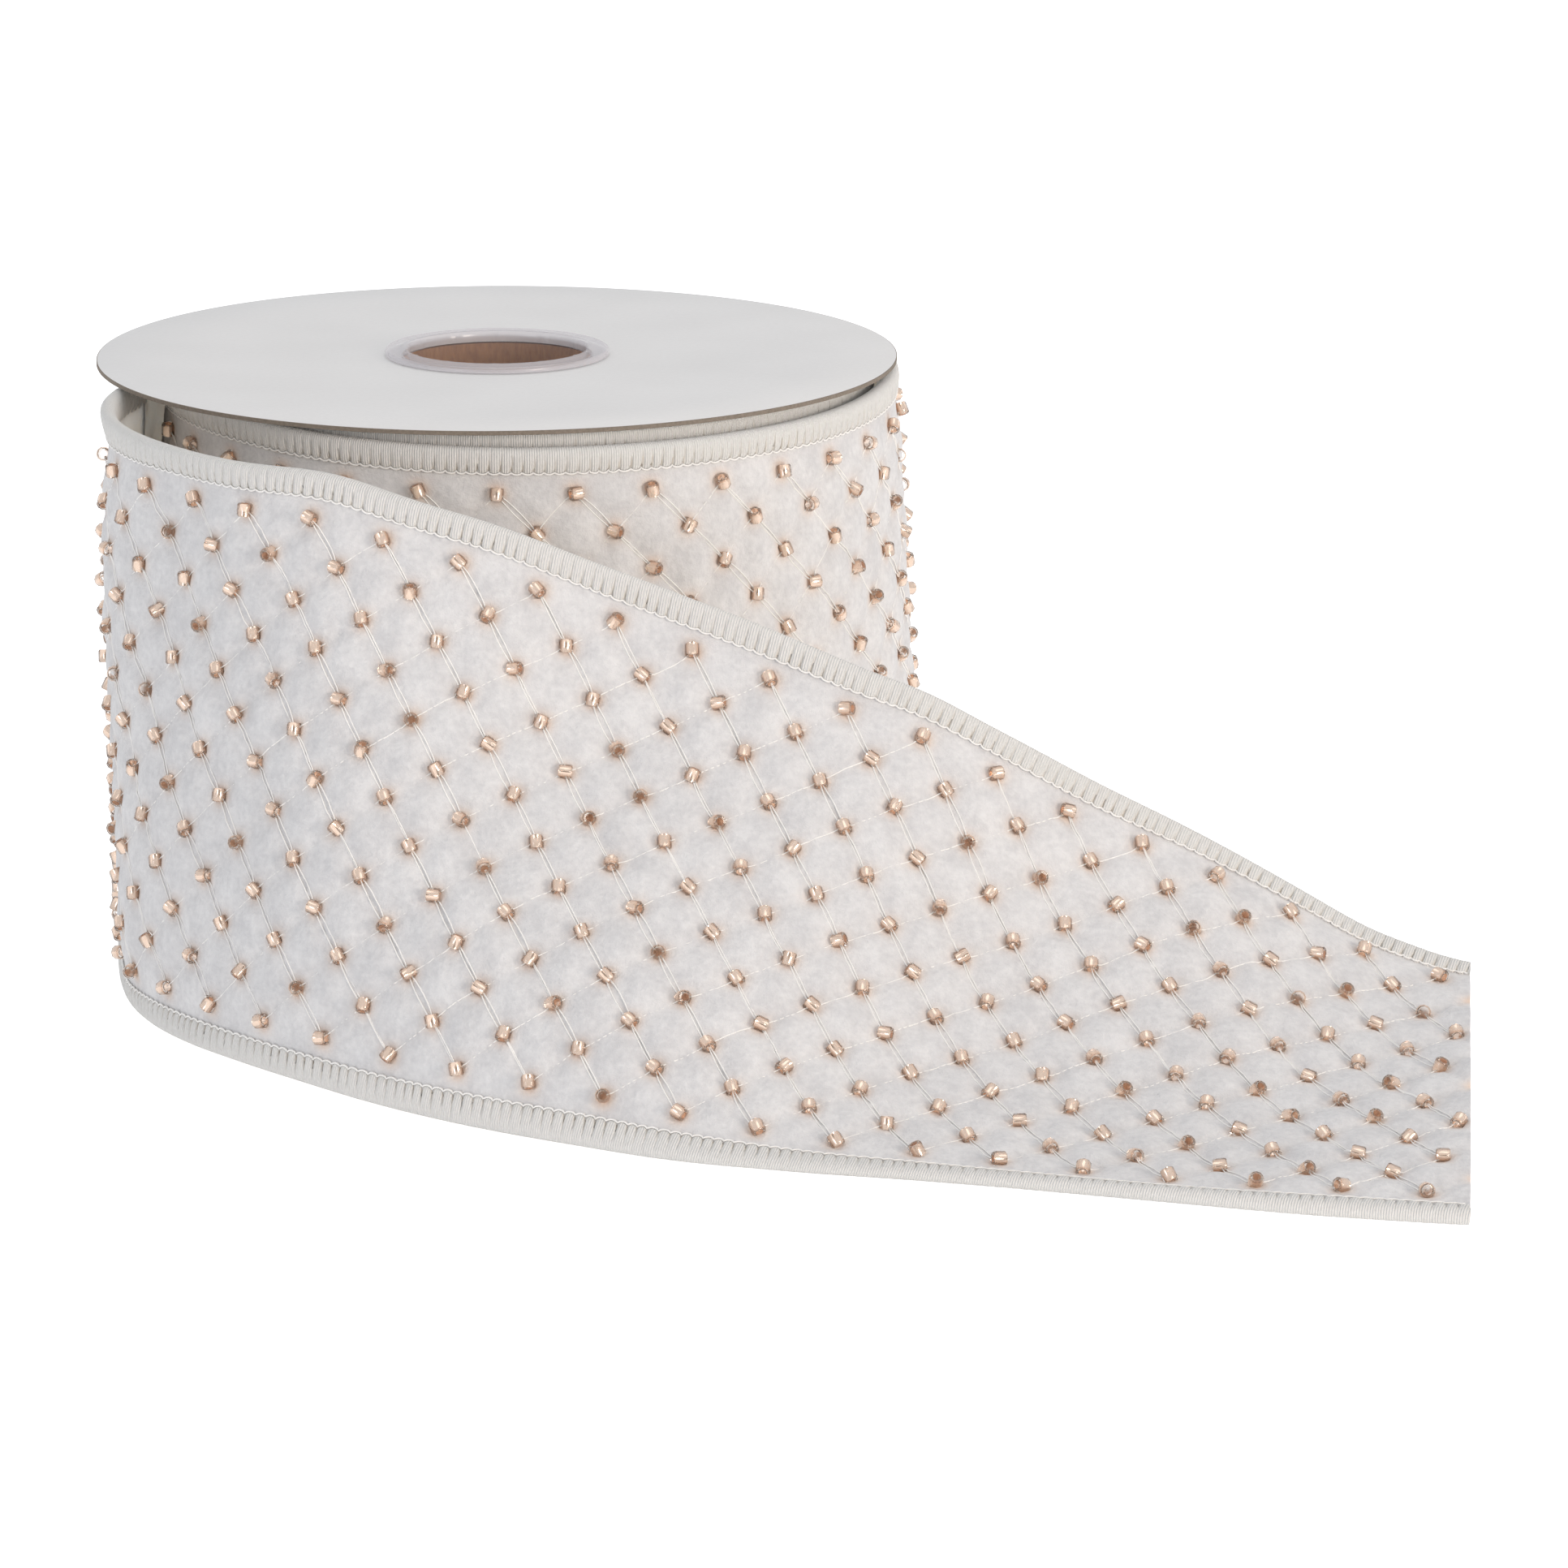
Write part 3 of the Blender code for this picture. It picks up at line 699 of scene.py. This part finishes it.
angles = np.linspace(TURN_TABLE[-1, 0] - 360, TURN_TABLE[-1, 0], INNER_COLUMNS + 1)[:-1]
share = np.linspace(0, 1, INNER_ROWS)
grooves = GROOVE_DEPTH * (1 - np.abs(np.sin(np.pi * share * GROOVES)) ** 0.5)
outer = np.stack([
    turn_point(angles, np.full(INNER_COLUMNS, across), 0.0, TURN_STEP + 3.1 * MM, drop=0.0) - AXIS
    for across in (3 * MM, WIDTH - 3 * MM)
], axis=1)
reach = np.hypot(outer[..., 0], outer[..., 1])
top_radius = reach[:, :1] + (CORE_REACH - reach[:, :1]) * share[None, :]
low_radius = reach[:, 1:] + (CORE_REACH - reach[:, 1:]) * share[None, ::-1]
radius = np.concatenate([low_radius, top_radius], axis=1)
height = np.concatenate([(ROLL_BASE + 0.3 * MM + grooves)[::-1], ROLL_BASE + WIDTH - 0.3 * MM - grooves])
turned = np.radians(angles)[:, None]
rings = np.stack([radius * np.cos(turned), radius * np.sin(turned),
                  np.broadcast_to(height, radius.shape)], axis=-1) + AXIS
# A slit mark of a fifth everywhere mixes the inner turns a fifth of the way to the slits' painted shade.
skin("inner_turns", rings[None], oversewn, endless=True,
     uv=np.stack([radius, radius], -1)[None], marks={"slit": 0.2 + 0 * radius})

# %% [markdown]
# Sewing threads are round, so each is a tube carried along its path, with the cloth's
# outward direction as the tube's upright. A curve with a bevel would give the same, but
# an array of all the paths makes hundreds of stitches at once. The thread is bleached
# cotton. Its twist is too fine to see, so a faint mottle stands for it.

# %% Threads
def tubes(name, paths, upright, radius, sides):
    """Rings about every point of every path, in the plane of the upright direction and
    the one square to it and to the path."""
    heading = np.gradient(paths, axis=1)
    heading /= np.linalg.norm(heading, axis=-1, keepdims=True)
    up = upright - heading * (upright * heading).sum(-1, keepdims=True)
    up /= np.linalg.norm(up, axis=-1, keepdims=True)
    side = np.cross(heading, up)
    turned = np.arange(sides) * 2 * math.pi / sides
    spokes = up[:, :, None] * np.cos(turned)[:, None] + side[:, :, None] * np.sin(turned)[:, None]
    skin(name, paths[:, :, None] + spokes * radius, cotton, crease=80)


cotton, tree = finish_tree("white_cotton_thread")
where = add(tree, "ShaderNodeTexCoord").outputs["Object"]
twist = add(tree, "ShaderNodeTexNoise", {"Vector": where, "Scale": 1 / (0.6 * MM)})
bleached = add(tree, "ShaderNodeMix", {
    0: twist.outputs["Fac"], 6: linear("#EDEBE7"), 7: linear("#FAF8F5"),
}, data_type="RGBA")
spun = add(tree, "ShaderNodeBsdfPrincipled", {
    "Base Color": bleached.outputs[2], "Roughness": 0.7, "Sheen Weight": 0.2, "Specular IOR Level": 0.3,
})
add(tree, "ShaderNodeOutputMaterial", {"Surface": spun.outputs["BSDF"]})
print(cotton.name, "has", len(tree.nodes), "nodes")

# %% [markdown]
# The chain of loops is one thread that runs along the inside of the oversewing and
# scallops out over the velvet once per group of strands.

# %% Chain of loops
CHAIN_LINE = 4.27 * MM
CHAIN_HEIGHT = 0.95 * MM
SCALLOP = 0.5 * MM
CHAIN_STEPS = 8
CHAIN_RADIUS = 0.17 * MM
CHAIN_SIDES = 5


def chain(name, start, stop, at_foot, wander):
    """A tube whose inset from the edge is the line of the chain plus the scallop times
    the square root of a half sine wave, once per group."""
    along = np.arange(start, stop, GROUP / CHAIN_STEPS)
    phase = (along / GROUP + drift_of(along, wander) + LEAN) % 1.0
    inset = CHAIN_LINE + SCALLOP * np.sqrt(np.sin(math.pi * phase))
    across = WIDTH - inset if at_foot else inset
    along = fanned(along, across)
    path = ribbon_point(along, across, CHAIN_HEIGHT)
    lifted = ribbon_point(along, across, CHAIN_HEIGHT + MM)
    tubes(name, path[None], (lifted - path)[None], CHAIN_RADIUS, CHAIN_SIDES)


for name, at_foot in (("top", 0), ("bottom", 1)):
    chain("loose_end_chain_" + name, 0.5 * MM, TAIL_LENGTH - 0.5 * MM, at_foot, at_foot)
    chain("outer_turn_chain_" + name, -TURN_LENGTH + 2 * MM, -0.5 * MM, at_foot, 2 + at_foot)

# %% [markdown]
# Each bead is a short cut length of glass tube with a rose gold lining in its bore. The
# glass bends the view of the lining, so one bead shows bright gold streaks and brown
# shadows side by side. A painted colour could only show their average.

# %% Bead materials
bead_glass, tree = finish_tree("champagne_glass")
glassy = add(tree, "ShaderNodeBsdfPrincipled", {
    "Base Color": linear("#FFFAF5"), "Roughness": 0.02, "IOR": 1.5, "Transmission Weight": 1.0,
})
add(tree, "ShaderNodeOutputMaterial", {"Surface": glassy.outputs["BSDF"]})
lining, tree = finish_tree("rose_gold_lining")
plated = add(tree, "ShaderNodeBsdfPrincipled", {
    "Base Color": linear("#FFE9D8"), "Roughness": 0.14, "Metallic": 0.75,
})
add(tree, "ShaderNodeOutputMaterial", {"Surface": plated.outputs["BSDF"]})
print("bead finishes:", bead_glass.name, "and", lining.name)

# %% [markdown]
# The beads are threaded on where the stitch lines cross. Real ones lie every way, so each
# gets its own turn from a fixed seed. All of a strip's beads are one mesh. A bead has a few
# dozen faces, as there are hundreds, and the smooth shading rounds it.

# %% Beads
BEAD_PROFILE = np.array((
    (0.72, -1.1), (1.1, -1.15), (1.3, -0.92), (1.3, 0.92), (1.1, 1.15), (0.72, 1.1),
)) * MM
BEAD_SIDES = 10
BEAD_SEAT = 0.95 * MM
STANDING_SHARE = 0.12


def lattice(first, last):
    """Columns and rows of the crossings that carry a bead, up to the slanting cut."""
    k, v = np.meshgrid(np.arange(first, last), np.arange(ROWS), indexing="ij")
    across = FIRST_ROW + v * HALF_DIAMOND
    cut = TAIL_LENGTH + CUT_SLANT * (across / WIDTH - 0.5)
    kept = ((k + v) % 2 == 0) & (along_of(k) < cut - BEAD_PROFILE.max() * 1.5)
    return k[kept].astype(float), v[kept].astype(float)


def crossing_places(k, v, above):
    """Places of the crossings, above the pile."""
    across = FIRST_ROW + v * HALF_DIAMOND
    along = along_of(k)
    return ribbon_point(along, across, velvet_front(along, across) + above)


def turned_rings(profile, centres, axle, across_axle, third):
    """The profile turned about each bead's own axle."""
    turned = np.arange(BEAD_SIDES) * 2 * math.pi / BEAD_SIDES
    radius, height = profile[:, 0], profile[:, 1]
    out = across_axle[:, None] * np.cos(turned)[:, None] + third[:, None] * np.sin(turned)[:, None]
    body = out[:, :, None] * radius[:, None] + axle[:, None, None] * height[:, None]
    return centres[:, None, None] + body


def sew_beads(name, first, last, seed):
    """Axles lie near the cloth, mostly along the steeper stitches, and a few stand up."""
    k, v = lattice(first, last)
    random = np.random.default_rng(seed)
    centres = crossing_places(k, v, BEAD_SEAT)
    higher = crossing_places(k, v, BEAD_SEAT + MM)
    onward = crossing_places(k + 0.4, v + 0.4, BEAD_SEAT)
    up = (higher - centres) / np.linalg.norm(higher - centres, axis=1, keepdims=True)
    ahead = onward - centres
    ahead -= up * (ahead * up).sum(1, keepdims=True)
    ahead /= np.linalg.norm(ahead, axis=1, keepdims=True)
    sideways = np.cross(up, ahead)
    swing = random.normal(0, 0.75, len(k))[:, None]
    tilt = np.where(random.random(len(k)) < STANDING_SHARE, random.uniform(0.8, 1.2, len(k)),
                    random.normal(0, 0.3, len(k)))[:, None]
    level = ahead * np.cos(swing) + sideways * np.sin(swing)
    axle = level * np.cos(tilt) + up * np.sin(tilt)
    square = np.cross(axle, sideways * np.cos(swing) - ahead * np.sin(swing))
    square /= np.linalg.norm(square, axis=1, keepdims=True)
    third = np.cross(axle, square)
    centres = centres + up * 0.12 * MM * np.abs(np.sin(tilt))
    beads = skin(name, turned_rings(BEAD_PROFILE, centres, axle, square, third),
                 bead_glass, endless=True, crease=50)
    beads.data.materials.append(lining)
    edges_round = len(BEAD_PROFILE)
    lined = np.arange(len(beads.data.polygons)) % edges_round == edges_round - 1
    beads.data.polygons.foreach_set("material_index", lined.astype(np.int32))


LAST_COLUMN = int((TAIL_LENGTH + CUT_SLANT) / HALF_DIAMOND) + 1
sew_beads("loose_end_beads", 1, LAST_COLUMN, 21)
FIRST_BEAD_ANGLE = -158
in_view = np.interp(FIRST_BEAD_ANGLE, turn_angles, turn_along)
FIRST_COLUMN = int(math.ceil(column_of(in_view)))
sew_beads("outer_turn_beads", FIRST_COLUMN, 0, 22)

# %% [markdown]
# Two threads run side by side along the steeper stitch lines and one along the shallower
# ones. Each stitch comes out of one bead's hole, sinks into the valley between the puffs
# and rises into the next bead, so it is a short tube with its own slight bow.

# %% Stitches
STITCH_RADIUS = 0.12 * MM
STITCH_SIDES = 4
STITCH_STATIONS = 7
BEAD_RISE = 0.75
RISE_REACH = 0.13


def stitches(name, first, last, step_v, sideways, depth, seed):
    """From bead (k, v) to (k + 1, v + step_v), bowed to the side by a half sine wave. Near
    a bead it rises above its depth by a bell curve."""
    k, v = lattice(first, last)
    onward = FIRST_ROW + (v + step_v) * HALF_DIAMOND
    cut = TAIL_LENGTH + CUT_SLANT * (onward / WIDTH - 0.5)
    inside = (v + step_v >= 0) & (v + step_v < ROWS) & (along_of(k + 1) < cut - MM)
    k, v = k[inside], v[inside]
    random = np.random.default_rng(seed)
    part = np.linspace(0.06, 0.94, STITCH_STATIONS)[None, :]
    bow = sideways + random.normal(0, 0.02, len(k))[:, None]
    bend = bow * np.sin(math.pi * part) ** 0.6
    column = k[:, None] + part - bend * step_v
    row = v[:, None] + part * step_v + bend
    across = FIRST_ROW + row * HALF_DIAMOND
    along = along_of(column)
    nearest = np.minimum(part, 1 - part)
    rise = (depth + BEAD_RISE * np.exp(-((nearest / RISE_REACH) ** 2))) * MM
    surface = velvet_front(along, across)
    paths = ribbon_point(along, across, surface + rise)
    above = ribbon_point(along, across, surface + rise + MM)
    tubes(name, paths, above - paths, STITCH_RADIUS, STITCH_SIDES)


STRIPS = (("loose_end", 1, LAST_COLUMN, 31), ("outer_turn", FIRST_COLUMN, -1, 41))
for name, first, last, seed in STRIPS:
    stitches(name + "_stitches_a", first, last, 1, 0.035, 0.06, seed)
    stitches(name + "_stitches_b", first, last, 1, -0.035, 0.06, seed + 1)
    stitches(name + "_stitches_c", first, last, -1, 0.0, -0.03, seed + 2)

# %% [markdown]
# The discs are punched from stiff card with a white face. The card is a smooth plain grey
# white with a faint fibre mottle, and its punched edge shows the brown grey of the board.
# Punching leaves both edges of the rim a little rounded, and the upper disc has a slight
# warp, a saddle that is highest at the rim.

# %% Card finish
card, tree = finish_tree("white_faced_card")
where = add(tree, "ShaderNodeTexCoord").outputs["Object"]
fibre = add(tree, "ShaderNodeTexNoise", {"Vector": where, "Scale": 1 / (0.9 * MM), "Detail": 4.0})
cloud = add(tree, "ShaderNodeTexNoise", {"Vector": where, "Scale": 1 / (22 * MM), "Detail": 1.0})
both = add(tree, "ShaderNodeMath", {0: fibre.outputs["Fac"], 1: cloud.outputs["Fac"]}, operation="ADD")
mottle = add(tree, "ShaderNodeMapRange", {"Value": both.outputs[0], "From Min": 0.6, "From Max": 1.4})
white = add(tree, "ShaderNodeMix", {
    0: mottle.outputs[0], 6: linear("#E2E1E0"), 7: linear("#E8E7E6"),
}, data_type="RGBA")
grain = add(tree, "ShaderNodeBump", {"Height": fibre.outputs["Fac"], "Distance": 0.05 * MM, "Strength": 0.4})
pressed = add(tree, "ShaderNodeBsdfPrincipled", {
    "Base Color": white.outputs[2], "Roughness": 0.62, "Specular IOR Level": 0.35,
    "Normal": grain.outputs["Normal"],
})
add(tree, "ShaderNodeOutputMaterial", {"Surface": pressed.outputs["BSDF"]})

card_edge, tree = finish_tree("punched_board_edge")
where = add(tree, "ShaderNodeTexCoord").outputs["Object"]
layers = add(tree, "ShaderNodeTexNoise", {"Vector": where, "Scale": 1 / (0.5 * MM), "Detail": 3.0})
pulp = add(tree, "ShaderNodeMix", {
    0: layers.outputs["Fac"], 6: linear("#6B6156"), 7: linear("#92877B"),
}, data_type="RGBA")
torn = add(tree, "ShaderNodeBsdfPrincipled", {"Base Color": pulp.outputs[2], "Roughness": 0.85})
add(tree, "ShaderNodeOutputMaterial", {"Surface": torn.outputs["BSDF"]})
print("card finishes:", card.name, "and", card_edge.name)

# %% [markdown]
# A disc, the core and the hub rings are all round, so one function turns a profile about
# the spool's axis. Its numbers are radius and height in millimetres.

# %% Card discs
RIB_COUNT = 12
RIB_SHARPNESS = 12
RIB_REACH = 17 * MM
WARP_REACH = 70 * MM


def turned_piece(name, profile, steps, material, warp=0.0, crease=40, ribs=0.0):
    """A closed profile turned about the axis. A rib stands inwards from the bore wherever
    a cosine with as many waves as ribs is near its top. A warp is a saddle: it grows as
    the radius squared and runs round as a cosine with two waves."""
    angles = np.arange(steps) * 2 * math.pi / steps
    radius, height = np.array(profile).T * MM
    rib = np.clip(np.cos(RIB_COUNT * angles), 0, 1)[:, None] ** RIB_SHARPNESS
    radius = radius - ribs * rib * (radius < RIB_REACH)
    lifted = height + warp * (radius / WARP_REACH) ** 2 * np.cos(2 * angles + 0.7)[:, None]
    rings = np.stack([radius * np.cos(angles)[:, None], radius * np.sin(angles)[:, None], lifted], -1)
    return skin(name, (rings + AXIS)[None], material, endless=True, crease=crease)


CARD = 0.8
CARD_BORE = 17.8
RIM_INSET, RIM_DROP = 0.15, 0.06
DISCS = (("bottom", 71.2, 1.5, 0.0), ("top", 73.9, 104.5, 0.12 * MM))
for name, reach, low, warp in DISCS:
    face = [CARD_BORE + (reach - RIM_INSET - CARD_BORE) * share for share in (1, 0.75, 0.5, 0.25, 0)]
    profile = [(r, low + CARD) for r in face] + [(r, low) for r in face[::-1]]
    profile += [(reach, low + RIM_DROP), (reach, low + CARD - RIM_DROP)]
    disc = turned_piece("card_disc_" + name, profile, 256, card, warp, crease=30)
    disc.data.materials.append(card_edge)
    middles = np.empty(len(disc.data.polygons) * 3)
    disc.data.polygons.foreach_get("center", middles)
    from_axis = np.hypot(*(middles.reshape(-1, 3) - AXIS).T[:2])
    on_edge = (from_axis > (reach - 0.12) * MM).astype(np.int32)
    disc.data.polygons.foreach_set("material_index", on_edge)
    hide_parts("spool_disc_" + name)

# %% [markdown]
# The core is a wound tube of brown board. Its inside shows through the hub, rough and
# fibrous, with flecks of pale and dark pulp drawn out along the tube.

# %% Cardboard core
board, tree = finish_tree("brown_spiral_board")
where = add(tree, "ShaderNodeTexCoord").outputs["Object"]
long_fibre = add(tree, "ShaderNodeMapping", {"Vector": where, "Scale": (1, 1, 0.35)})
flecks = add(tree, "ShaderNodeTexNoise", {
    "Vector": long_fibre.outputs["Vector"], "Scale": 1 / (0.8 * MM), "Detail": 5.0, "Roughness": 0.65,
})
brown = add(tree, "ShaderNodeMix", {
    0: flecks.outputs["Fac"], 6: linear("#6E4426"), 7: linear("#C98F58"),
}, data_type="RGBA")
rough = add(tree, "ShaderNodeBump", {"Height": flecks.outputs["Fac"], "Distance": 0.2 * MM, "Strength": 0.6})
pulped = add(tree, "ShaderNodeBsdfPrincipled", {
    "Base Color": brown.outputs[2], "Roughness": 0.85, "Normal": rough.outputs["Normal"],
})
add(tree, "ShaderNodeOutputMaterial", {"Surface": pulped.outputs["BSDF"]})

CORE_OUTSIDE, CORE_BORE, CORE_LOW, CORE_HIGH = 19.3, 17.8, 2.6, 104.2
core_profile = [(CORE_OUTSIDE, CORE_HIGH), (CORE_OUTSIDE, CORE_LOW)]
core_profile += [(CORE_BORE, height) for height in (CORE_LOW, 30, 60, 90, CORE_HIGH)]
core = turned_piece("cardboard_core", core_profile, 96, board)
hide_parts("spool_core")

# %% [markdown]
# A hub ring is moulded in clear plastic: a flat flange that laps over the disc and a
# sleeve that grips the inside of the core. Both lips of the flange are raised, and twelve
# low ribs run down the sleeve. Clear plastic is see-through where it is thin and milky
# where it is thick, so the flange and the mouth of the sleeve have a milkier finish.

# %% Hub rings
clear, tree = finish_tree("clear_moulded_styrene")
thin = add(tree, "ShaderNodeBsdfPrincipled", {
    "Base Color": linear("#F4F0F2"), "Roughness": 0.12, "IOR": 1.55, "Alpha": 0.1,
    "Specular IOR Level": 0.8,
})
add(tree, "ShaderNodeOutputMaterial", {"Surface": thin.outputs["BSDF"]})
frosted, tree = finish_tree("thick_moulded_styrene")
milky = add(tree, "ShaderNodeBsdfPrincipled", {
    "Base Color": linear("#E4E0E4"), "Roughness": 0.2, "IOR": 1.55, "Alpha": 0.42,
    "Specular IOR Level": 0.8,
})
add(tree, "ShaderNodeOutputMaterial", {"Surface": milky.outputs["BSDF"]})
MILKY_DEPTH = 1.8 * MM
RIB_HEIGHT = 0.25 * MM


def hub_ring(name, node, face_z, toward_core):
    """Flange and sleeve profile with raised lips, as radius and depth below the face."""
    lip = [(16.5, 1.0), (16.6, 0.35), (16.85, 0.06), (17.2, 0.0), (17.6, 0.1), (18.0, 0.36),
           (19.6, 0.4), (20.0, 0.22), (20.35, 0.2), (20.6, 0.4), (20.75, 0.75), (20.7, 1.2),
           (17.5, 1.2), (17.5, 2.0), (17.5, 15.2), (16.5, 15.2), (16.5, 2.0)]
    profile = [(r, face_z + toward_core * d) for r, d in lip]
    ring = turned_piece(name, profile, 192, clear, crease=35, ribs=RIB_HEIGHT)
    ring.data.materials.append(frosted)
    middles = np.empty(len(ring.data.polygons) * 3)
    ring.data.polygons.foreach_get("center", middles)
    thick = np.abs(middles[2::3] - face_z * MM) < MILKY_DEPTH
    ring.data.polygons.foreach_set("material_index", thick.astype(np.int32))
    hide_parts(node)


hub_ring("hub_ring_top_clear", "hub_ring_top", 106.8, -1)
hub_ring("hub_ring_bottom_clear", "hub_ring_bottom", 0.0, 1)
